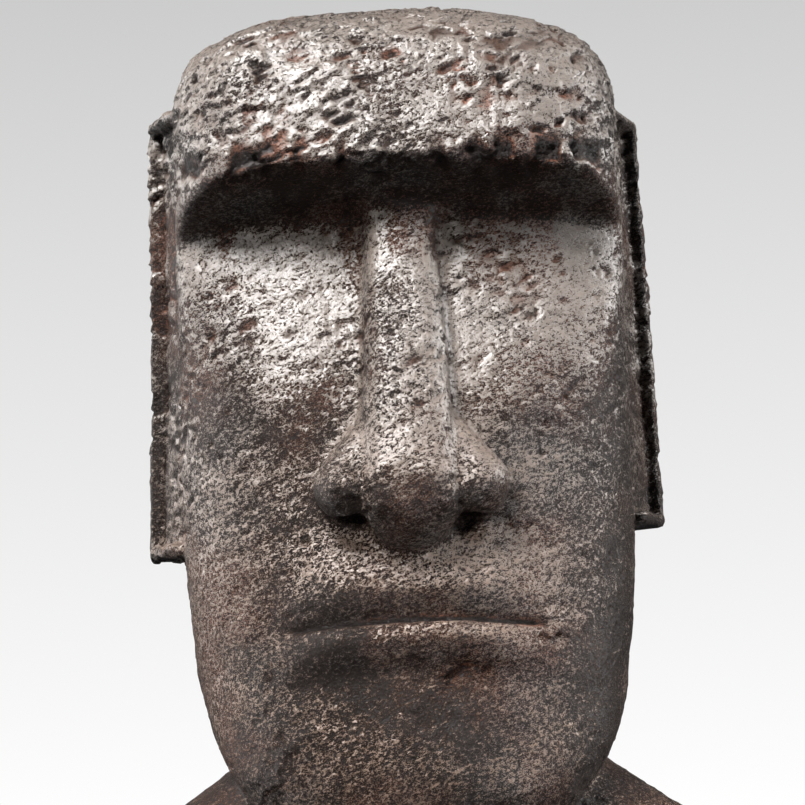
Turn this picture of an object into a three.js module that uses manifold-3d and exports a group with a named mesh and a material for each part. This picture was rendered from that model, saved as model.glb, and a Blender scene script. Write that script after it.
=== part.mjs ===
// A moai head as a bust: long head with a heavy straight brow, deep eye hollows, a long nose with
// flared wings, pursed lips and long ears, on a neck and shoulders that are cut flat below.
// It is one cast piece, so it is one solid.
//
// Millimetres, +Z up, the face looks towards -Y, and the origin is the middle of the flat underside.
//
// The big forms are fields: functions of a point that are negative inside the stone and about the
// distance to its surface outside. A sphere grid is wrapped round each field by casting a ray for
// every vertex. The ears, nostrils and the line of the mouth are joined on and cut out afterwards.
import * as THREE from "three";
import { mergeVertices } from "three/addons/utils/BufferGeometryUtils.js";
import Module from "manifold-3d";

const wasm = await Module();
wasm.setup();

// Heights above the underside.
const CHIN_Z = 100;
const MOUTH_Z = 211;
const NOSE_TIP_Z = 274; // the nose is furthest forward here, and rounds under itself below
const SOCKET_Z = 396; // the deep corner where the eye plane meets the underside of the brow
const BRIDGE_Z = 408;
const BROW_EDGE_Z = 417;
const CROWN_Z = 497;

// Depths in front of the head's axis.
const SOCKET_DEPTH = 47;
const BROW_DEPTH = 85;
const BRIDGE_DEPTH = 58;
const NOSE_TIP_DEPTH = 102;

// Half widths.
const LIPS_HALF = 60;
const WING_X = 28.5;
const NOSTRIL_X = 26;
const NOSTRIL_TILT = THREE.MathUtils.degToRad(38); // the openings look down and forwards

// The ears are slabs that turn outwards from the side of the head, each with a raised rim.
const EAR_TURN = THREE.MathUtils.degToRad(18);
const EAR_LEAN = THREE.MathUtils.degToRad(1.6); // the lobes stand out further than the tops
const EAR_FRONT = new THREE.Vector2(101, -9); // where the slab's front edge meets the head
const EAR_MIDDLE_Z = 355;
const EAR_DEPTH = 44;
const EAR_ROOT = 16; // how deep the slab is let into the head
const EAR_STAND = 6.5; // how far the rim stands out from the side of the head
const EAR_RIM = 10;
const EAR_RECESS = 5.5;
const EARS = [
  { side: -1, bottom: 246, top: 457 },
  { side: 1, bottom: 254, top: 451 },
];

// ---- Small helpers -------------------------------------------------------------------------

const { clamp, smoothstep, lerp } = THREE.MathUtils;

// A smooth curve through [height, value] stations.
function profile(stations) {
  const curve = new THREE.CubicInterpolant(
    stations.map(([height]) => height),
    stations.map(([, value]) => value),
    1,
  );
  return (height) => curve.evaluate(height)[0];
}

// The larger and the smaller of two distances, rounded over a width of about k.
function smoothMax(a, b, k) {
  const near = Math.max(k - Math.abs(a - b), 0) / k;
  return Math.max(a, b) + (near * near * k) / 4;
}
const smoothMin = (a, b, k) => -smoothMax(-a, -b, k);

// Distance to an upright wall whose plan is a superellipse, with its own depth in front and behind.
function wall(x, y, half, front, back, power) {
  const depth = y < 0 ? front : back;
  const ratio = (Math.abs(x / half) ** power + Math.abs(y / depth) ** power) ** (1 / power);
  return ratio < 0.01 ? -Math.min(half, depth) : Math.hypot(x, y) * (1 - 1 / ratio);
}

// ---- The head ------------------------------------------------------------------------------

const headHalf = profile([
  [CHIN_Z, 91], [174, 97], [219, 102.5], [287, 105], [386, 104], [CROWN_Z, 103],
]);
const headFront = profile([
  [CHIN_Z, 74], [135, 80], [180, 76], [240, 72], [300, 70], [350, 73],
  [BROW_EDGE_Z, BROW_DEPTH], [448, 79], [CROWN_Z, 66],
]);
const headBack = profile([[CHIN_Z, 84], [200, 92], [330, 94], [430, 86], [CROWN_Z, 74]]);
const headSquareness = profile([[CHIN_Z, 2.5], [200, 2.8], [300, 3.1], [SOCKET_Z, 3.8], [BROW_EDGE_Z, 4]]);
const eyeSlope = 0.256; // how far the eye plane comes forward for each millimetre down

// Pursed lips: two ledges on a rounded muzzle, parted by a line that droops towards its corners.
const LIP_FORWARD = { upper: 7.5, lower: 8 };
const mouthDroop = (x) => 5 * (x / LIPS_HALF) ** 2;
function lips(x, z) {
  const above = z + mouthDroop(x) - MOUTH_Z;
  const upper = LIP_FORWARD.upper * smoothstep(above, -7, 14) * (1 - smoothstep(above, 14, 44));
  const lower = LIP_FORWARD.lower * smoothstep(-above, -9, 8) * (1 - smoothstep(-above, 8, 28));
  return Math.max(upper, lower) * (1 - smoothstep(Math.abs(x), 30, 70));
}

function skull(x, y, z) {
  const sides = wall(
    x, y, headHalf(z), headFront(z) + lips(x, z), headBack(z), headSquareness(z),
  );
  const crown = z - CROWN_Z + (x * x) / 620 + (y * y) / 800;
  const jaw = CHIN_Z + (x * x) / 300 + 0.42 * Math.max(y + 55, 0) - z;
  return smoothMax(smoothMax(sides, crown, 34), jaw, 34);
}

// One hollow runs under the whole brow and out at both temples; the nose is set into it
// afterwards. Its ceiling climbs from the deep corner to the front edge of the brow.
const ceilingRun = BROW_DEPTH - SOCKET_DEPTH;
const ceilingRise = BROW_EDGE_Z - SOCKET_Z;
const ceilingLength = Math.hypot(ceilingRun, ceilingRise);
const eyePlane = (x, y, z) =>
  wall(x, y, 116, SOCKET_DEPTH + eyeSlope * (SOCKET_Z - z), headBack(z), 3.2);
function eyeHollow(x, y, z) {
  const ceiling = ((y + SOCKET_DEPTH) * ceilingRise + (z - SOCKET_Z) * ceilingRun) / ceilingLength;
  return smoothMax(-eyePlane(x, y, z), ceiling, 8);
}

// A straight-backed ridge with a flat front. Below the tip it is a quarter of a ball, which runs
// back under itself to the lip and is lowest in the middle.
const BALL_DROP = 33;
const BALL_RUN = 32;
const BALL_KEEL = 42;
function noseRidge(x, y, z) {
  const down = Math.max((BRIDGE_Z - z) / (BRIDGE_Z - NOSE_TIP_Z), 0);
  const front = lerp(BRIDGE_DEPTH, NOSE_TIP_DEPTH, Math.min(down, 1) ** 1.15) - (x * x) / 120;
  const half = 16.5 + 4 * down ** 1.5 + 0.05 * Math.max(front + y, 0);
  const below = Math.max(NOSE_TIP_Z - z, 0) / Math.max(BALL_DROP - (x * x) / BALL_KEEL, 8);
  const ahead = Math.max(BALL_RUN - NOSE_TIP_DEPTH - y, 0) / BALL_RUN;
  const ball = (Math.hypot(below, ahead) - 1) * BALL_DROP;
  const ridge = smoothMax(-front - y, Math.abs(x) - half, 9);
  return Math.max(smoothMax(ridge, ball, 4), z - BROW_EDGE_Z, y);
}

// Each wing is a drop shape that starts beside the ridge and swells towards the nostril.
const wingTop = new THREE.Vector3(15, -71, 300);
const wingEnd = new THREE.Vector3(WING_X, -79, 270);
function noseWing(x, y, z) {
  const line = new THREE.Line3(wingTop, wingEnd);
  const point = new THREE.Vector3(Math.abs(x), y, z);
  const along = line.closestPointToPointParameter(point, true);
  return line.at(along, new THREE.Vector3()).distanceTo(point) - lerp(6, 15.5, along);
}

function head(x, y, z) {
  const carved = smoothMax(skull(x, y, z), -eyeHollow(x, y, z), 5);
  const nose = smoothMin(noseRidge(x, y, z), noseWing(x, y, z), 4);
  return smoothMin(carved, nose, 7);
}

// ---- Neck and shoulders --------------------------------------------------------------------

const SHOULDER_Y = 9; // the trunk's axis lies this far behind the head's
const NECK_TOP_Z = 172; // inside the head
const trunkHalf = profile([
  [0, 155], [60, 157], [85, 152], [104, 142], [120, 125], [134, 105], [148, 86], [NECK_TOP_Z, 77],
]);
const trunkFront = profile([[0, 84], [50, 85], [88, 76], [118, 60], [150, 50], [NECK_TOP_Z, 46]]);
const trunkBack = profile([[0, 88], [60, 91], [110, 88], [150, 82], [NECK_TOP_Z, 74]]);
const trunk = (x, y, z) =>
  wall(x, y - SHOULDER_Y, trunkHalf(z), trunkFront(z), trunkBack(z), 2.7);

// ---- Wrapping a grid round a field ---------------------------------------------------------

// Divides each band [from, to, count] evenly and returns all the steps, first and last included.
function steps(bands) {
  const values = [bands[0][0]];
  for (const [from, to, count] of bands)
    for (let i = 1; i <= count; i++) values.push(lerp(from, to, i / count));
  return values;
}

// Distance from the axis to the outermost surface of the field along a ray.
function reach(field, origin, direction) {
  const FAR = 260;
  const at = (t) =>
    field(origin.x + direction.x * t, origin.y + direction.y * t, origin.z + direction.z * t);
  let outside = FAR;
  let inside = FAR;
  while (inside > 0 && at(inside) > 0) {
    outside = inside;
    inside -= clamp(at(inside) * 0.5, 0.4, 20);
  }
  for (let i = 0; i < 12; i++) {
    const middle = (inside + outside) / 2;
    if (at(middle) > 0) outside = middle;
    else inside = middle;
  }
  return Math.max(inside, 0);
}

// rows: { z, tilt } from top to bottom, tilt being the ray's angle above the horizon.
// angles: gives, for a height, the degrees round the axis from -180 to 180, with 0 at the face.
// sag: how far a row is let down at a given angle and height.
function wrap(field, axisY, rows, angles, sag = () => 0) {
  const columns = angles(0).length;
  const sphere = new THREE.SphereGeometry(1, columns - 1, rows.length - 1);
  const position = sphere.getAttribute("position");
  rows.forEach(({ z, tilt, closed }, row) => {
    const level = Math.cos(tilt);
    angles(z).forEach((angle, column) => {
      const turn = THREE.MathUtils.degToRad(angle);
      const origin = new THREE.Vector3(0, axisY, z - sag(turn, z));
      const direction = new THREE.Vector3(
        Math.sin(turn) * level, -Math.cos(turn) * level, Math.sin(tilt),
      );
      const length = closed ? 0 : reach(field, origin, direction);
      const vertex = origin.addScaledVector(direction, length);
      position.setXYZ(row * columns + column, vertex.x, vertex.y, vertex.z);
    });
  });
  return sphere;
}

// The rows near the mouth droop with it, and those at the brow follow its edge down the temples.
function lipSag(turn, z) {
  const near = smoothstep(z, 175, 200) * (1 - smoothstep(z, 222, 240));
  const across = Math.abs(turn) < 1 ? 82 * Math.tan(turn) : LIPS_HALF;
  return near * mouthDroop(clamp(across, -LIPS_HALF, LIPS_HALF));
}

function browSag(turn, z) {
  const outwards = new THREE.Vector3(Math.sin(turn), -Math.cos(turn), 0);
  const ceilingOver = (field, height) => {
    const ahead = reach(field, new THREE.Vector3(0, 0, height), outwards) * Math.cos(turn);
    return SOCKET_Z + ((ahead - SOCKET_DEPTH) * ceilingRise) / ceilingRun;
  };
  const edge = ceilingOver(skull, BROW_EDGE_Z);
  const corner = Math.min(ceilingOver(eyePlane, SOCKET_Z), edge - 3);
  const atEdge = (BROW_EDGE_Z - edge) * (1 - smoothstep(z, BROW_EDGE_Z, 450));
  const atCorner = (SOCKET_Z - corner) * smoothstep(z, 350, SOCKET_Z);
  const between = clamp((z - SOCKET_Z) / (BROW_EDGE_Z - SOCKET_Z), 0, 1);
  return lerp(atCorner, atEdge, between) * (1 - smoothstep(Math.abs(turn), 1.25, 1.75));
}

// Degrees from the middle of the face to the front corner and to the foot of the nose.
const noseEdge = profile([[240, 12], [266, 11], [305, 11.5], [370, 14], [BRIDGE_Z, 15.5]]);
const noseFoot = profile([
  [225, 24], [250, 30.5], [272, 31], [285, 27], [297, 21.5], [312, 19], [370, 19.5], [BRIDGE_Z, 21],
]);

const mirrored = (half) => [...half.slice(1).reverse().map((a) => -a), ...half];

// Columns crowd together on the nose, rows at the brow, the nose's underside and the mouth.
function headShell() {
  const TOP_Z = 428;
  const BOTTOM_Z = 150;
  const angles = (z) => {
    const [edge, foot] = [noseEdge(z), noseFoot(z)];
    return mirrored(
      steps([[0, edge, 3], [edge, foot, 4], [foot, 34, 2], [34, 62, 6], [62, 98, 5], [98, 180, 8]]),
    );
  };
  const heights = steps([
    [TOP_Z, 419, 3], [419, 413, 2], [413, SOCKET_Z, 3], [SOCKET_Z, 391, 2],
    [391, 292, 9], [292, 238, 13], [238, 220, 3], [220, 201, 7], [201, BOTTOM_Z, 5],
  ]);
  const upwards = steps([[90, 55, 2], [55, 0, 7]]).slice(0, -1);
  const downwards = steps([[0, -24, 2], [-24, -60, 5], [-60, -90, 1]]).slice(1);
  const fan = (z) => (degrees) => ({ z, tilt: THREE.MathUtils.degToRad(degrees) });
  const rows = [
    ...upwards.map(fan(TOP_Z)),
    ...heights.map((z) => ({ z, tilt: 0 })),
    ...downwards.map(fan(BOTTOM_Z)),
  ];
  return wrap(head, 0, rows, angles, (turn, z) => lipSag(turn, z) + browSag(turn, z));
}

function trunkShell() {
  const angles = () => mirrored(steps([[0, 180, 20]]));
  const heights = steps([[NECK_TOP_Z, 70, 9], [70, 0, 2]]);
  const rows = [
    { z: NECK_TOP_Z, tilt: 0, closed: true },
    ...heights.map((z) => ({ z, tilt: 0 })),
    { z: 0, tilt: 0, closed: true },
  ];
  return wrap(trunk, SHOULDER_Y, rows, angles);
}

// ---- Pieces that are joined on or cut out --------------------------------------------------

function roundedRectangle(left, bottom, right, top, radius) {
  const shape = new THREE.Shape();
  shape.absarc(right - radius, bottom + radius, radius, -Math.PI / 2, 0);
  shape.absarc(right - radius, top - radius, radius, 0, Math.PI / 2);
  shape.absarc(left + radius, top - radius, radius, Math.PI / 2, Math.PI);
  shape.absarc(left + radius, bottom + radius, radius, Math.PI, Math.PI * 1.5);
  return shape;
}

// Places a shape drawn in (back, up) and extruded outwards on the side of the head.
function placeOnSide(geometry, side) {
  const back = new THREE.Vector3(side * Math.sin(EAR_TURN), Math.cos(EAR_TURN), 0);
  const out = new THREE.Vector3(side * Math.cos(EAR_TURN), -Math.sin(EAR_TURN), 0);
  const up = new THREE.Vector3(0, 0, 1);
  const frame = new THREE.Matrix4().makeBasis(back.multiplyScalar(side), up, out);
  frame.setPosition(side * EAR_FRONT.x, EAR_FRONT.y, EAR_MIDDLE_Z);
  geometry.translate(0, -EAR_MIDDLE_Z, 0);
  geometry.rotateX(-EAR_LEAN);
  return geometry.applyMatrix4(frame);
}

function earSlab({ side, bottom, top }) {
  const BEVEL = 2.5;
  const [near, far] = [BEVEL, EAR_DEPTH - BEVEL].map((u) => u * side).sort((a, b) => a - b);
  const outline = roundedRectangle(near, bottom + BEVEL, far, top - BEVEL, 6);
  const slab = new THREE.ExtrudeGeometry(outline, {
    depth: EAR_ROOT + EAR_STAND - BEVEL,
    bevelThickness: BEVEL,
    bevelSize: BEVEL,
    bevelSegments: 2,
    curveSegments: 3,
  });
  slab.translate(0, 0, -EAR_ROOT);
  return placeOnSide(slab, side);
}

// The hollow of the ear is open towards the cheek and closed by the rim behind and below.
function earHollow({ side, bottom, top }) {
  const [near, far] = [-EAR_RIM, EAR_DEPTH - EAR_RIM].map((u) => u * side).sort((a, b) => a - b);
  const outline = roundedRectangle(near, bottom + EAR_RIM, far, top - EAR_RIM, 5);
  const hollow = new THREE.ExtrudeGeometry(outline, {
    depth: EAR_RECESS + EAR_STAND,
    bevelEnabled: false,
    curveSegments: 3,
  });
  hollow.translate(0, 0, EAR_STAND - EAR_RECESS);
  return placeOnSide(hollow, side);
}

function nostril(side) {
  const hole = new THREE.SphereGeometry(1, 12, 8);
  hole.scale(10, 9, 7);
  hole.rotateX(-NOSTRIL_TILT);
  return hole.translate(side * NOSTRIL_X, -78, 251);
}

// A narrow cut along the line between the lips, running out at the corners.
function mouthLine() {
  const CUT_DEPTH = 9;
  const CUT_HALF_HEIGHT = 1.3;
  const lipY = (x) => -reach(head, new THREE.Vector3(x, 0, MOUTH_Z), new THREE.Vector3(0, -1, 0));
  const runOut = (x) => (CUT_DEPTH / 2) * (x / LIPS_HALF) ** 4;
  const points = steps([[-LIPS_HALF, LIPS_HALF, 12]]).map(
    (x) => new THREE.Vector3(x, lipY(x) - runOut(x), MOUTH_Z - mouthDroop(x)),
  );
  const section = new THREE.Shape([
    new THREE.Vector2(0, -CUT_DEPTH / 2),
    new THREE.Vector2(CUT_HALF_HEIGHT, 0),
    new THREE.Vector2(0, CUT_DEPTH / 2),
    new THREE.Vector2(-CUT_HALF_HEIGHT, 0),
  ]);
  return new THREE.ExtrudeGeometry(section, {
    steps: 20,
    extrudePath: new THREE.CatmullRomCurve3(points),
  });
}

// ---- Joining -------------------------------------------------------------------------------

function toSolid(geometry) {
  const bare = geometry.clone();
  bare.deleteAttribute("normal");
  bare.deleteAttribute("uv");
  const merged = mergeVertices(bare, 1e-3);
  return new wasm.Manifold(
    new wasm.Mesh({
      numProp: 3,
      vertProperties: new Float32Array(merged.getAttribute("position").array),
      triVerts: new Uint32Array(merged.index.array),
    }),
  );
}

function toGeometry(solid) {
  const mesh = solid.getMesh();
  const geometry = new THREE.BufferGeometry();
  geometry.setAttribute("position", new THREE.BufferAttribute(mesh.vertProperties, 3));
  geometry.setIndex(new THREE.BufferAttribute(mesh.triVerts, 1));
  geometry.computeVertexNormals();
  return geometry;
}

function bust() {
  let solid = toSolid(headShell()).add(toSolid(trunkShell()));
  for (const ear of EARS)
    solid = solid.add(toSolid(earSlab(ear))).subtract(toSolid(earHollow(ear)));
  for (const side of [-1, 1]) solid = solid.subtract(toSolid(nostril(side)));
  return solid.subtract(toSolid(mouthLine()));
}

const stone = new THREE.MeshStandardMaterial({ color: 0x4b4039, roughness: 0.5, metalness: 0 });
const piece = new THREE.Mesh(toGeometry(bust()), stone);
piece.name = "moai_bust";

const moai = new THREE.Group();
moai.name = "moai_head_bust";
moai.add(piece);

export default moai;
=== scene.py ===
"""A moai head bust: gritty cast stone, stained dark brown and varnished.

The fine surface is one mesh on the same form as the CAD solid. Its form is a field, a function of
a point that is negative inside the stone. The field is sampled on a grid, its zero surface is
drawn with surface nets, and every vertex is then moved by seeded noise for lumps, chips and grit.
"""
import math

import bpy
import numpy as np
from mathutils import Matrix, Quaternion, Vector


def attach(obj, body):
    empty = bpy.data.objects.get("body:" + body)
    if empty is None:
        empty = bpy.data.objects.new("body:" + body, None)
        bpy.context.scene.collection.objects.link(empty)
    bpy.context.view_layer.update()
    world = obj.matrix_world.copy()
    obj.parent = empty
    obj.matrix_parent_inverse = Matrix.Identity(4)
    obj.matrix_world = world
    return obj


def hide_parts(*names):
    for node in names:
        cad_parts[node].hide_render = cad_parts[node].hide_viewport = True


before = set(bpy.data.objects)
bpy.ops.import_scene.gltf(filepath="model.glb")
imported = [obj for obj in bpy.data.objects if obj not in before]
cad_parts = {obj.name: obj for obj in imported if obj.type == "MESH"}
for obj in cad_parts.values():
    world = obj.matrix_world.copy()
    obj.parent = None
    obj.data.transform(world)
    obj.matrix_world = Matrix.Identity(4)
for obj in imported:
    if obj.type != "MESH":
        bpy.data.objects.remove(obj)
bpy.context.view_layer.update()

MM = 0.001
GRID_STEP = 1.25  # millimetres between the samples of the field
FACE_TRIANGLES, REST_TRIANGLES = 118_000, 76_000  # the face gets the smaller triangles

# ---- The same forms as the CAD solid, in millimetres ---------------------------------------

CHIN_Z, MOUTH_Z, NOSE_TIP_Z, SOCKET_Z = 100, 211, 274, 396
BRIDGE_Z, BROW_EDGE_Z, CROWN_Z = 408, 417, 497
SOCKET_DEPTH, BROW_DEPTH, BRIDGE_DEPTH, NOSE_TIP_DEPTH = 47, 85, 58, 102
BALL_DROP, BALL_RUN, BALL_KEEL = 33, 32, 42  # the round underside of the nose tip
LIPS_HALF = 60
UPPER_LIP, LOWER_LIP = 7.5, 8  # how far the lips stand forward
WING_TOP, WING_END = (15, -71, 300), (28.5, -79, 270)
WING_RADII = (6, 15.5)  # at the top and at the end
NOSTRIL, NOSTRIL_RADII, NOSTRIL_TILT = (26, -78, 251), (10, 9, 7), math.radians(38)
EAR_TURN, EAR_LEAN = math.radians(18), math.radians(1.6)
EAR_FRONT, EAR_MIDDLE_Z = (101, -9), 355
EAR_DEPTH, EAR_STAND, EAR_RIM, EAR_RECESS = 44, 6.5, 6, 6.5
EAR_ROOT = 16  # how far the slab reaches into the head
EARS = ((-1, 246, 457), (1, 254, 451))  # side, bottom, top
SHOULDER_Y = 9
NECK_TOP_Z = 172
CROWN_ROUND, JAW_ROUND = 34, 34


def smoothstep(x, low, high):
    t = np.clip((x - low) / (high - low), 0, 1)
    return t * t * (3 - 2 * t)


def smooth_max(a, b, k):
    near = np.maximum(k - np.abs(a - b), 0) / k
    return np.maximum(a, b) + near * near * k / 4


def smooth_min(a, b, k):
    return -smooth_max(-a, -b, k)


def profile(*stations):
    """A smooth curve through (height, value) stations."""
    heights, values = np.array(stations, dtype=float).T
    slopes = np.gradient(values, heights)

    def curve(height):
        height = np.clip(height, heights[0], heights[-1])
        i = np.clip(np.searchsorted(heights, height, side="right") - 1, 0, len(heights) - 2)
        step = heights[i + 1] - heights[i]
        t = (height - heights[i]) / step
        return (
            (1 + 2 * t) * (1 - t) ** 2 * values[i]
            + t * (1 - t) ** 2 * step * slopes[i]
            + t * t * (3 - 2 * t) * values[i + 1]
            + t * t * (t - 1) * step * slopes[i + 1]
        )

    return curve


def wall(x, y, half, front, back, power):
    """Distance to an upright wall whose plan is a superellipse."""
    depth = np.where(y < 0, front, back)
    ratio = (np.abs(x / half) ** power + np.abs(y / depth) ** power) ** (1 / power)
    return np.hypot(x, y) * (1 - 1 / np.maximum(ratio, 0.05))


head_half = profile((CHIN_Z, 91), (174, 97), (219, 102.5), (287, 105), (386, 104), (CROWN_Z, 103))
head_front = profile(
    (CHIN_Z, 74), (135, 80), (180, 76), (240, 72), (300, 70), (350, 73),
    (BROW_EDGE_Z, BROW_DEPTH), (448, 79), (CROWN_Z, 66),
)
head_back = profile((CHIN_Z, 84), (200, 92), (330, 94), (430, 86), (CROWN_Z, 74))
head_squareness = profile((CHIN_Z, 2.5), (200, 2.8), (300, 3.1), (SOCKET_Z, 3.8), (BROW_EDGE_Z, 4))
EYE_SLOPE, EYE_HALF, EYE_SQUARENESS = 0.256, 116, 3.2


def mouth_droop(x):
    return 5 * (x / LIPS_HALF) ** 2


def lips(x, z):
    above = z + mouth_droop(x) - MOUTH_Z
    upper = UPPER_LIP * smoothstep(above, -7, 14) * (1 - smoothstep(above, 14, 44))
    lower = LOWER_LIP * smoothstep(-above, -9, 8) * (1 - smoothstep(-above, 8, 28))
    return np.maximum(upper, lower) * (1 - smoothstep(np.abs(x), 30, 70))


def skull(x, y, z):
    sides = wall(
        x, y, head_half(z), head_front(z) + lips(x, z), head_back(z), head_squareness(z)
    )
    crown = z - CROWN_Z + x * x / 620 + y * y / 800
    jaw = CHIN_Z + x * x / 300 + 0.42 * np.maximum(y + 55, 0) - z
    return smooth_max(smooth_max(sides, crown, CROWN_ROUND), jaw, JAW_ROUND)


def eye_hollow(x, y, z):
    run, rise = BROW_DEPTH - SOCKET_DEPTH, BROW_EDGE_Z - SOCKET_Z
    depth = SOCKET_DEPTH + EYE_SLOPE * (SOCKET_Z - z)
    eye_plane = wall(x, y, EYE_HALF, depth, head_back(z), EYE_SQUARENESS)
    ceiling = ((y + SOCKET_DEPTH) * rise + (z - SOCKET_Z) * run) / math.hypot(run, rise)
    return smooth_max(-eye_plane, ceiling, 6)


def capsule(points, start, end, start_radius, end_radius):
    start, end = np.array(start, dtype=float), np.array(end, dtype=float)
    axis = end - start
    along = np.clip((points - start) @ axis / (axis @ axis), 0, 1)
    away = np.linalg.norm(points - start - along[:, None] * axis, axis=1)
    return away - start_radius - along * (end_radius - start_radius)


def nose(x, y, z):
    down = np.maximum((BRIDGE_Z - z) / (BRIDGE_Z - NOSE_TIP_Z), 0)
    front = BRIDGE_DEPTH + (NOSE_TIP_DEPTH - BRIDGE_DEPTH) * np.minimum(down, 1) ** 1.15
    front = front - x * x / 120
    half = 16.5 + 4 * down**1.5 + 0.05 * np.maximum(front + y, 0)
    # Below the tip the nose is a quarter of a ball, which runs back under itself to the lip.
    below = np.maximum(NOSE_TIP_Z - z, 0) / np.maximum(BALL_DROP - x * x / BALL_KEEL, 8)
    reach = np.maximum(-y - (NOSE_TIP_DEPTH - BALL_RUN), 0) / BALL_RUN
    ball = (np.hypot(below, reach) - 1) * BALL_DROP
    ridge = smooth_max(-front - y, np.abs(x) - half, 9)
    ridge = smooth_max(ridge, ball, 4)
    ridge = np.maximum(np.maximum(ridge, z - BROW_EDGE_Z), y)
    sided = np.stack([np.abs(x), y, z], axis=1)
    wing = capsule(sided, WING_TOP, WING_END, *WING_RADII)
    return smooth_min(ridge, wing, 4)


def nostrils(x, y, z):
    """The field of both nostrils, as one ellipsoid seen from either side."""
    across, back, up = np.abs(x) - NOSTRIL[0], y - NOSTRIL[1], z - NOSTRIL[2]
    along = back * math.cos(NOSTRIL_TILT) - up * math.sin(NOSTRIL_TILT)
    deep = back * math.sin(NOSTRIL_TILT) + up * math.cos(NOSTRIL_TILT)
    wide, long, high = NOSTRIL_RADII
    ratio = np.sqrt((across / wide) ** 2 + (along / long) ** 2 + (deep / high) ** 2)
    return (ratio - 1) * high


def rounded_box(u, v, w, low, high, radius):
    """Distance to a box from its low to its high corner, with rounded edges."""
    outside = [
        np.maximum(low[i] + radius - c, c - high[i] + radius) for i, c in enumerate((u, v, w))
    ]
    reach = np.sqrt(sum(np.maximum(o, 0) ** 2 for o in outside))
    return reach + np.minimum(np.maximum.reduce(outside), 0) - radius


def ear(x, y, z, side, bottom, top):
    """The field of an ear slab, and that of the hollow inside its rim."""
    across, along = side * x - EAR_FRONT[0], y - EAR_FRONT[1]
    back = across * math.sin(EAR_TURN) + along * math.cos(EAR_TURN)
    flat = across * math.cos(EAR_TURN) - along * math.sin(EAR_TURN)
    height = z - EAR_MIDDLE_Z
    up = EAR_MIDDLE_Z + height * math.cos(EAR_LEAN) - flat * math.sin(EAR_LEAN)
    out = flat * math.cos(EAR_LEAN) + height * math.sin(EAR_LEAN)
    slab = rounded_box(back, up, out, (0, bottom, -EAR_ROOT), (EAR_DEPTH, top, EAR_STAND), 3)
    hollow = rounded_box(
        back, up, out,
        (-10, bottom + EAR_RIM, EAR_STAND - EAR_RECESS),
        (EAR_DEPTH - EAR_RIM, top - EAR_RIM, 40),
        2.5,
    )
    return slab, hollow


trunk_half = profile(
    (0, 155), (60, 157), (85, 152), (104, 142), (120, 125), (134, 105), (148, 86), (NECK_TOP_Z, 77)
)
trunk_front = profile((0, 84), (50, 85), (88, 76), (118, 60), (150, 50), (NECK_TOP_Z, 46))
trunk_back = profile((0, 88), (60, 91), (110, 88), (150, 82), (NECK_TOP_Z, 74))


def stone(x, y, z):
    head = smooth_max(skull(x, y, z), -eye_hollow(x, y, z), 4)
    head = smooth_min(head, nose(x, y, z), 6)
    head = smooth_max(head, -nostrils(x, y, z), 2)
    for side, bottom, top in EARS:
        slab, hollow = ear(x, y, z, side, bottom, top)
        head = smooth_max(smooth_min(head, slab, 3), -hollow, 2)
    trunk = wall(x, y - SHOULDER_Y, trunk_half(z), trunk_front(z), trunk_back(z), 2.7)
    trunk = smooth_max(trunk, z - NECK_TOP_Z, 4)
    return np.maximum(smooth_min(head, trunk, 5), -z)


# ---- Drawing the surface -------------------------------------------------------------------


def sample(field, low, high, step):
    """The field on a regular grid, worked out one level at a time."""
    xs, ys, zs = (np.arange(a, b + step, step) for a, b in zip(low, high))
    x, y = (c.ravel() for c in np.meshgrid(xs, ys, indexing="ij"))
    levels = [field(x, y, np.full(x.shape, z)).reshape(len(xs), len(ys)) for z in zs]
    return np.stack(levels, axis=2)


def surface_nets(values):
    """Points and outward quads on the zero surface, one point for each cell that it crosses."""
    inside = values < 0
    cells = tuple(n - 1 for n in values.shape)
    corners = [np.array([i, j, k]) for i in (0, 1) for j in (0, 1) for k in (0, 1)]
    count = sum(
        inside[i : i + cells[0], j : j + cells[1], k : k + cells[2]].astype(np.int8)
        for i, j, k in corners
    )
    crossed = (count > 0) & (count < 8)
    cell = np.argwhere(crossed)
    index = np.full(cells, -1, dtype=np.int32)
    index[crossed] = np.arange(len(cell))

    total = np.zeros((len(cell), 3))
    hits = np.zeros(len(cell))
    for corner in corners:
        for axis in range(3):
            if corner[axis]:
                continue
            step = np.eye(3, dtype=int)[axis]
            a = values[tuple((cell + corner).T)]
            b = values[tuple((cell + corner + step).T)]
            cut = (a < 0) != (b < 0)
            share = a[cut] / (a[cut] - b[cut])
            total[cut] += corner + share[:, None] * step
            hits += cut
    points = cell + total / hits[:, None]

    quads = []
    for axis in range(3):
        u, v = np.eye(3, dtype=int)[(axis + 1) % 3], np.eye(3, dtype=int)[(axis + 2) % 3]
        here = np.moveaxis(inside, axis, 0)[:-1]
        ahead = np.moveaxis(inside, axis, 0)[1:]
        edge = np.argwhere(np.moveaxis(here != ahead, 0, axis))
        outward = inside[tuple(edge.T)]
        ring = [index[tuple((edge - shift).T)] for shift in (0 * u, u, u + v, v)]
        ring = np.stack(ring, axis=1)
        quads.append(np.where(outward[:, None], ring, ring[:, ::-1]))
    return points, np.concatenate(quads)


# ---- Noise ---------------------------------------------------------------------------------


def scatter(cells, seed):
    """A fixed number from 0 to 1 for each whole-numbered cell."""
    a, b, c = (cells[..., i].astype(np.int64).astype(np.uint32) for i in range(3))
    with np.errstate(over="ignore"):
        mixed = a * np.uint32(0x8DA6B343) ^ b * np.uint32(0xD8163841) ^ c * np.uint32(0xCB1AB31F)
        mixed ^= np.uint32(seed * 7919 + 101)
        mixed = (mixed ^ (mixed >> 15)) * np.uint32(0x2C1B3C6D)
        mixed = (mixed ^ (mixed >> 12)) * np.uint32(0x297A2D39)
        mixed ^= mixed >> 15
    return mixed / 2.0**32


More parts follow.
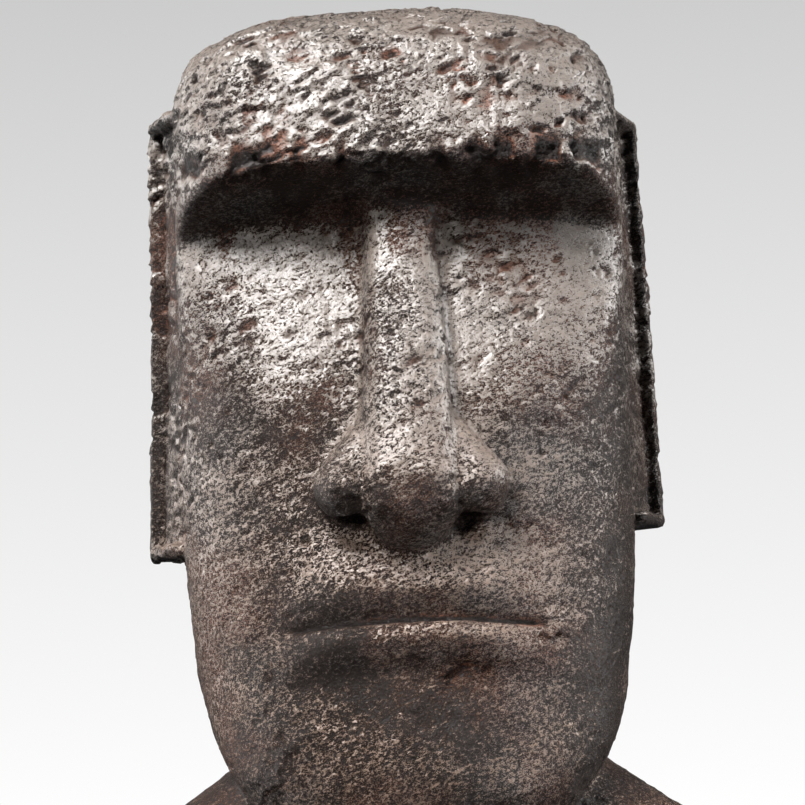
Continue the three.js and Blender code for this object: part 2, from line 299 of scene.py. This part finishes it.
def noise(points, size, seed):
    """Smooth noise from -1 to 1, with bumps about size millimetres apart."""
    spot = points / size
    cell = np.floor(spot)
    t = spot - cell
    t = t * t * (3 - 2 * t)
    total = 0
    for i in (0, 1):
        for j in (0, 1):
            for k in (0, 1):
                weight = (
                    (t[:, 0] if i else 1 - t[:, 0])
                    * (t[:, 1] if j else 1 - t[:, 1])
                    * (t[:, 2] if k else 1 - t[:, 2])
                )
                total = total + weight * scatter(cell + (i, j, k), seed)
    return total * 2 - 1


def rough(points, size, seed, octaves=3):
    """Layers of noise, each half the size and half the height of the one before."""
    layers = [noise(points, size / 2**i, seed + i) / 2**i for i in range(octaves)]
    return sum(layers) / 1.5


def neighbours(cell):
    """Each point's own cell and the 26 around it."""
    for i in (-1, 0, 1):
        for j in (-1, 0, 1):
            for k in (-1, 0, 1):
                yield cell + (i, j, k)


def spots(points, spacing, seed, share, radius):
    """1 at the middle of scattered round spots, falling to 0 at their edge."""
    spot = points / spacing
    cell = np.floor(spot)
    best = np.zeros(len(points))
    for there in neighbours(cell):
        draws = np.stack([scatter(there, seed + n) for n in range(5)], axis=1)
        centre = there + 0.5 + 0.7 * (draws[:, 1:4] - 0.5)
        size = radius / spacing * (0.5 + draws[:, 4])
        away = np.linalg.norm(spot - centre, axis=1) / size
        best = np.maximum(best, (1 - away) * (draws[:, 0] < share))
    return best


def chips(points, size, seed):
    """A broken surface: flat facets of a given size, each at its own height and slope."""
    spot = points / size
    cell = np.floor(spot)
    nearest = np.full(len(points), np.inf)
    height = np.zeros(len(points))
    for there in neighbours(cell):
        draws = np.stack([scatter(there, seed + n) for n in range(6)], axis=1)
        offset = spot - there - draws[:, :3]
        away = np.einsum("ij,ij->i", offset, offset)
        facet = draws[:, 3] + offset[:, 0] * (draws[:, 4] - 0.5) - offset[:, 2] * draws[:, 5]
        height = np.where(away < nearest, facet, height)
        nearest = np.minimum(away, nearest)
    return height


# ---- The cast surface ----------------------------------------------------------------------


def around(points, centre, radii):
    """1 at a place on the surface, fading to 0 at the given distances along X, Y and Z."""
    away = np.linalg.norm((points - centre) / radii, axis=1)
    return 1 - smoothstep(away, 0.35, 1)


# The marks are long and low, and rise towards the figure's left.
RISE = math.radians(24)
MARKS = np.array([
    [0.5 * math.cos(RISE), 0, -1.25 * math.sin(RISE)],
    [0, 0.8, 0],
    [0.5 * math.sin(RISE), 0, 1.25 * math.cos(RISE)],
])


# Places on the surface, each as a centre and a reach along X, Y and Z. The smooth ones start
# with how smooth they are.
SMOOTH_PLACES = (
    (1, (-42, -80, 198), (26, 40, 13)),
    (1, (38, -78, 177), (24, 40, 13)),
    (0.8, (-30, -60, 370), (22, 40, 14)),
    (0.7, (40, -62, 345), (20, 40, 22)),
)
SCRAPED_BROW = (38, -78, 456), (26, 40, 34)
SCRAPED_CHEEK = (-33, -62, 352), (14, 40, 30)
FLAKED_CORNER = (62, -70, 208), (12, 40, 16)
PINHOLE, PINHOLE_DEPTH = ((-48, -74, 247), (2.6, 30, 2.6)), 3
# The last of these sets the crease low in the grain, which darkens it in the colour: a painted
# shade line.
CREASE_HALF, CREASE_DEPTH, CREASE_PAINTED_SHADE = 1.5, 2.8, 3  # the line between the lips
TEETH_DEPTH = 4.0  # bites out of the lower edge of the brow


def weathering(points):
    """How far each point of the smooth form moves outwards, and its height within the grain.

    The crease of the mouth counts as a low place in the grain, so that it is painted dark: a
    painted shade line along the mouth.
    """
    x, y, z = points.T
    front = 1 - smoothstep(y, -20, 30)
    forehead = smoothstep(z, 408, 424) * (1 - smoothstep(y, 0, 60))
    lower = 1 - smoothstep(z, 205, 330)
    sheltered = smoothstep(z, 372, 398) * (1 - smoothstep(z, 402, 416)) * front
    ears = smoothstep(np.abs(x), 101, 106) * smoothstep(z, 236, 246)
    smooth = np.maximum.reduce(
        [how_smooth * around(points, centre, reach) for how_smooth, centre, reach in SMOOTH_PLACES]
    )
    calm = (1 - 0.7 * smooth) * (1 - 0.4 * sheltered)

    lumps = 1.2 * noise(points, 47, 11) + 0.8 * rough(points, 19, 21, 2)
    warped = points + np.stack(
        [2 * noise(points, 7, seed) + 1.1 * noise(points, 3, seed + 3) for seed in (15, 16, 17)],
        axis=1,
    )
    marks = warped @ MARKS
    broken = smoothstep(noise(points, 26, 35) + 0.45 * forehead - 0.2 * lower, 0.05, 0.35)
    facets = chips(marks, 5.2, 31) - 0.5
    slabs = smoothstep(noise(marks, 9, 33), 0.05, 0.2)
    pits = smoothstep(spots(marks, 4.6, 41, 0.3, 1.9), 0, 0.5)
    gouges = smoothstep(spots(marks, 9, 45, 0.2, 2.7), 0, 0.5)
    grit = 0.25 * rough(marks, 2.8, 51, 2) + 0.15 * noise(points, 3, 61)
    scraped = np.maximum(around(points, *SCRAPED_BROW), around(points, *SCRAPED_CHEEK))
    scrapes = 1.3 * np.abs(noise(points / (2.6, 9, 34), 1, 71)) * scraped

    fine = (
        grit
        + (0.25 + 0.9 * broken + 0.3 * ears) * facets
        - (0.25 + 0.45 * broken) * slabs
        - (0.8 + 0.5 * forehead - 0.45 * lower) * pits
        - (0.9 + 0.9 * forehead - 0.85 * lower) * gouges
        - scrapes
    )
    edge = np.exp(-(((z - BROW_EDGE_Z - 1) / 7) ** 2)) * smoothstep(-y, 45, 62)
    teeth = np.maximum(noise(warped / (5, 9, 14), 1, 81) + 0.2, 0)
    fine -= TEETH_DEPTH * teeth * edge
    fine += 1.6 * around(points, *FLAKED_CORNER) * facets
    mouth = (z + mouth_droop(x) - MOUTH_Z) / CREASE_HALF
    crease = np.exp(-(mouth**2)) * smoothstep(-y, 40, 60)
    crease *= 1 - smoothstep(np.abs(x), LIPS_HALF - 8, LIPS_HALF + 2)
    moved = (lumps + calm * fine) * smoothstep(z, 0, 8)
    moved -= PINHOLE_DEPTH * around(points, *PINHOLE) + CREASE_DEPTH * crease
    # The crease is set low in the grain, which paints it dark as a shade line.
    return moved, calm * fine - CREASE_PAINTED_SHADE * crease


def point_normals(points, quads):
    a, b, c, d = (points[quads[:, i]] for i in range(4))
    facing = np.cross(c - a, d - b)
    total = np.stack(
        [
            sum(np.bincount(quads[:, i], facing[:, k], len(points)) for i in range(4))
            for k in range(3)
        ],
        axis=1,
    )
    return total / np.linalg.norm(total, axis=1, keepdims=True)


# The grid reaches past the form on every side.
low, high = (-165, -112, -4), (165, 112, CROWN_Z + 6)
points, quads = surface_nets(sample(stone, low, high, GRID_STEP))
points = np.array(low) + points * GRID_STEP
normals = point_normals(points, quads)
moved, grain = weathering(points)
points = points + normals * moved[:, None]
points[:, 2] = np.maximum(points[:, 2], 0)

mesh = bpy.data.meshes.new("moai_surface")
mesh.from_pydata(points * MM, [], quads)
mesh.attributes.new("grain", "FLOAT", "POINT").data.foreach_set("value", grain)
bust = bpy.data.objects.new("moai_surface", mesh)
bpy.context.scene.collection.objects.link(bust)


def thin(group_name, chosen, target):
    """Fewer triangles on the chosen points alone, until the whole mesh has the target number."""
    group = bust.vertex_groups.new(name=group_name)
    group.add(np.flatnonzero(chosen).tolist(), 1.0, "REPLACE")
    modifier = bust.modifiers.new(group_name, "DECIMATE")
    modifier.ratio = target / sum(len(p.vertices) - 2 for p in bust.data.polygons)
    modifier.vertex_group = group.name
    modifier.vertex_group_factor = 1.0
    with bpy.context.temp_override(object=bust, active_object=bust):
        bpy.ops.object.modifier_apply(modifier=modifier.name)


def in_face(points):
    return (points[:, 1] < -22) & (points[:, 2] > 92)


face_triangles = 2 * in_face(points[quads[:, 0]]).sum()
thin("rest", ~in_face(points), face_triangles + REST_TRIANGLES)
kept = np.array([v.co for v in bust.data.vertices]) / MM
thin("face", in_face(kept), FACE_TRIANGLES + REST_TRIANGLES)
bust.data.shade_smooth()

# ---- The varnished finish --------------------------------------------------------------------


class Nodes:
    """Short calls for adding nodes to a material."""

    def __init__(self, name):
        self.material = bpy.data.materials.new(name)
        self.material.use_nodes = True
        self.tree = self.material.node_tree
        self.shader = self.tree.nodes["Principled BSDF"]

    def add(self, kind, inputs=None, **settings):
        node = self.tree.nodes.new(kind)
        for key, value in settings.items():
            setattr(node, key, value)
        for key, value in (inputs or {}).items():
            if isinstance(value, bpy.types.NodeSocket):
                self.tree.links.new(value, node.inputs[key])
            else:
                node.inputs[key].default_value = value
        return node

    def noise(self, where, scale, detail=3, roughness=0.55):
        inputs = {"Vector": where, "Scale": scale, "Detail": detail, "Roughness": roughness}
        return self.add("ShaderNodeTexNoise", inputs).outputs["Fac"]

    def ramp(self, value, low, high):
        inputs = {"Value": value, "From Min": low, "From Max": high}
        return self.add(
            "ShaderNodeMapRange", inputs, interpolation_type="SMOOTHSTEP"
        ).outputs["Result"]

    def between(self, value, at_zero, at_one):
        inputs = {"Value": value, "To Min": at_zero, "To Max": at_one}
        return self.add("ShaderNodeMapRange", inputs).outputs["Result"]

    def math(self, operation, a, b):
        return self.add("ShaderNodeMath", {0: a, 1: b}, operation=operation).outputs["Value"]

    def mix(self, factor, a, b):
        node = self.add("ShaderNodeMix", data_type="RGBA")
        for socket, value in ((node.inputs[0], factor), (node.inputs[6], a), (node.inputs[7], b)):
            if isinstance(value, bpy.types.NodeSocket):
                self.tree.links.new(value, socket)
            else:
                socket.default_value = value
        return node.outputs[2]


# Base colours, from the bottoms of the pits, near black as painted shade over the dark stain, to
# the rubbed tops of the grit.
PIT = (0.008, 0.005, 0.004, 1)
UMBER = (0.016, 0.01, 0.007, 1)
BROWN = (0.036, 0.021, 0.015, 1)
RUST = (0.13, 0.05, 0.028, 1)
RUBBED_JAW = (0.125, 0.078, 0.053, 1)
RUBBED_BROW = (0.085, 0.067, 0.055, 1)


def varnished_stone():
    """Shining rubbed tops of the grit, which lie flat, over matt dark brown pits. Tops that face
    up are paler and shinier as painted light from above, and the pit bottoms are darkened as
    painted shade.
    """
    n = Nodes("varnished_stone")
    place = n.add("ShaderNodeTexCoord").outputs["Object"]
    marks = n.add(
        "ShaderNodeMapping",
        {"Vector": place, "Rotation": (0, -RISE, 0), "Scale": (1.3, 1.0, 0.8)},
        vector_type="TEXTURE",
    ).outputs["Vector"]
    height_up = n.add("ShaderNodeSeparateXYZ", {"Vector": place}).outputs["Z"]
    normal = n.add("ShaderNodeNewGeometry").outputs["Normal"]
    facing_up = n.add("ShaderNodeSeparateXYZ", {"Vector": normal}).outputs["Z"]
    cast = n.add("ShaderNodeAttribute", attribute_name="grain").outputs["Fac"]

    grit = n.noise(marks, 1650, 3, 0.75)
    crumbs = n.noise(marks, 600, 3, 0.6)
    dust = n.noise(place, 1500, 2, 0.6)
    relief = n.math("ADD", n.math("MULTIPLY", grit, 0.55), n.math("MULTIPLY", crumbs, 0.45))

    # Rust runs down below the brow.
    under_brow = n.math(
        "MULTIPLY", n.ramp(height_up, 0.345, 0.395), n.ramp(height_up, 0.416, 0.409)
    )
    drips = n.add("ShaderNodeMapping", {"Vector": place, "Scale": (1, 1, 0.12)}).outputs["Vector"]
    drips = n.math("MULTIPLY", n.ramp(n.noise(drips, 55, 4), 0.46, 0.6), under_brow)

    # What stands above the cover of stain is rubbed pale, more of it in patches. More is pale
    # where the surface faces up,
    # fading out towards the bottom: painted light from above.
    painted_light_from_above = n.math("MULTIPLY", n.ramp(facing_up, -0.3, 0.3), n.ramp(height_up, 0.06, 0.4))
    patch = n.ramp(n.noise(place, 15, 4, 0.6), 0.38, 0.6)
    cover = n.math("SUBTRACT", 0.605, n.math("MULTIPLY", painted_light_from_above, 0.11))
    cover = n.math("SUBTRACT", cover, n.math("MULTIPLY", patch, 0.06))
    cover = n.math("ADD", cover, n.math("MULTIPLY", drips, 0.08))
    above = n.math("SUBTRACT", relief, cover)
    pale = n.math("MULTIPLY", n.ramp(above, -0.032, 0.012), n.ramp(cast, -1.6, -0.5))
    # Deep pits and the mouth crease take the near-black PIT colour: the stain in the hollows,
    # darkened further as painted shade.
    deep = n.math("MAXIMUM", n.ramp(above, -0.03, -0.10), n.ramp(cast, -1.6, -2.5))

    brown = n.mix(n.ramp(n.noise(place, 26, 4), 0.4, 0.6), UMBER, BROWN)
    red = n.math("MULTIPLY", n.ramp(n.noise(place, 17, 5), 0.46, 0.66), n.ramp(grit, 0.42, 0.58))
    brown = n.mix(n.math("MAXIMUM", red, drips), brown, RUST)
    brown = n.mix(deep, brown, PIT)
    rubbed = n.mix(n.ramp(height_up, 0.12, 0.36), RUBBED_JAW, RUBBED_BROW)
    n.tree.links.new(n.mix(pale, brown, rubbed), n.shader.inputs["Base Color"])

    # Specular is raised on the pale tops, most where they face up: a painted sheen from above.
    bright = n.math("MULTIPLY", pale, n.math("ADD", n.math("MULTIPLY", painted_light_from_above, 0.45), 0.55))
    n.tree.links.new(n.between(pale, 0.46, 0.37), n.shader.inputs["Roughness"])
    n.tree.links.new(n.between(bright, 0.15, 0.85), n.shader.inputs["Specular IOR Level"])

    height = n.math("MULTIPLY", n.ramp(above, -0.11, 0.03), 0.75)  # in millimetres
    height = n.math("ADD", height, n.math("MULTIPLY", dust, 0.2))
    height = n.math("ADD", height, n.math("MULTIPLY", crumbs, 0.5))
    bump = n.add("ShaderNodeBump", {"Height": height, "Strength": 1.0, "Distance": MM})
    n.tree.links.new(bump.outputs["Normal"], n.shader.inputs["Normal"])
    return n.material


bust.data.materials.append(varnished_stone())
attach(bust, "root")
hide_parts("moai_bust")

# ---- Floor, light and camera ---------------------------------------------------------------

scene = bpy.context.scene


def pale_floor():
    """A floor that stays out of the stone's own light and reflections."""
    bpy.ops.mesh.primitive_plane_add(size=8)
    floor = bpy.context.object
    floor.name = "floor"
    floor.visible_diffuse = False
    floor.visible_glossy = False
    pale = bpy.data.materials.new("pale_floor")
    pale.use_nodes = True
    shader = pale.node_tree.nodes["Principled BSDF"]
    shader.inputs["Base Color"].default_value = (0.8, 0.8, 0.8, 1)
    shader.inputs["Roughness"].default_value = 0.7
    floor.data.materials.append(pale)


def studio_world():
    """A pale backdrop for the camera, and a much dimmer light from above for the stone."""
    world = bpy.data.worlds.new("studio")
    world.use_nodes = True
    sky = world.node_tree
    up = sky.nodes.new("ShaderNodeSeparateXYZ")
    sky.links.new(sky.nodes.new("ShaderNodeTexCoord").outputs["Generated"], up.inputs[0])

    def shade(*from_and_to):
        node = sky.nodes.new("ShaderNodeMapRange")
        for name, value in zip(("From Min", "From Max", "To Min", "To Max"), from_and_to):
            node.inputs[name].default_value = value
        sky.links.new(up.outputs["Z"], node.inputs["Value"])
        return node.outputs[0]

    choose = sky.nodes.new("ShaderNodeMix")
    sky.links.new(sky.nodes.new("ShaderNodeLightPath").outputs["Is Camera Ray"], choose.inputs[0])
    sky.links.new(shade(-0.2, 1.0, 0.07, 0.3), choose.inputs[2])
    sky.links.new(shade(-0.06, 0.25, 1.08, 0.55), choose.inputs[3])
    sky.links.new(choose.outputs[0], sky.nodes["Background"].inputs["Color"])
    return world


def softbox(name, place, target, size, watts, spread=180):
    light = bpy.data.lights.new(name, "AREA")
    light.shape = "RECTANGLE"
    light.size, light.size_y = size
    light.energy = watts
    light.spread = math.radians(spread)
    lamp = bpy.data.objects.new(name, light)
    lamp.location = place
    lamp.rotation_euler = (Vector(target) - Vector(place)).to_track_quat("-Z", "Y").to_euler()
    scene.collection.objects.link(lamp)


def face_on_camera(target, distance, view_width, turn, climb, roll):
    """A camera that looks at the target, a little from one side and from below, and rolled."""
    view = Vector(
        (math.sin(turn) * math.cos(climb), math.cos(turn) * math.cos(climb), -math.sin(climb))
    )
    camera = bpy.data.objects.new("camera", bpy.data.cameras.new("camera"))
    camera.data.sensor_width = 36
    camera.data.lens = camera.data.sensor_width * distance / view_width
    camera.location = Vector(target) - view * distance
    camera.rotation_mode = "QUATERNION"
    camera.rotation_quaternion = view.to_track_quat("-Z", "Y") @ Quaternion((0, 0, 1), roll)
    scene.collection.objects.link(camera)
    return camera


pale_floor()
scene.world = studio_world()
softbox("key", (-0.4, -0.74, 1.36), (-0.03, -0.07, 0.46), (0.5, 0.42), 5.6, 45)
softbox("fill", (-0.5, -1.15, 0.5), (0, -0.08, 0.235), (0.2, 0.12), 0.4, 24)
softbox("rim_left", (-1.3, 0.4, 0.5), (0, 0, 0.3), (0.5, 1.2), 32)
softbox("rim_right", (1.3, 0.0, 0.5), (0, 0, 0.3), (0.4, 1.2), 46)
scene.camera = face_on_camera(
    (-0.0019, -0.07, 0.308), 1.6, 0.362, math.radians(1), math.radians(-6), math.radians(-2.1)
)
scene.view_settings.view_transform = "Standard"
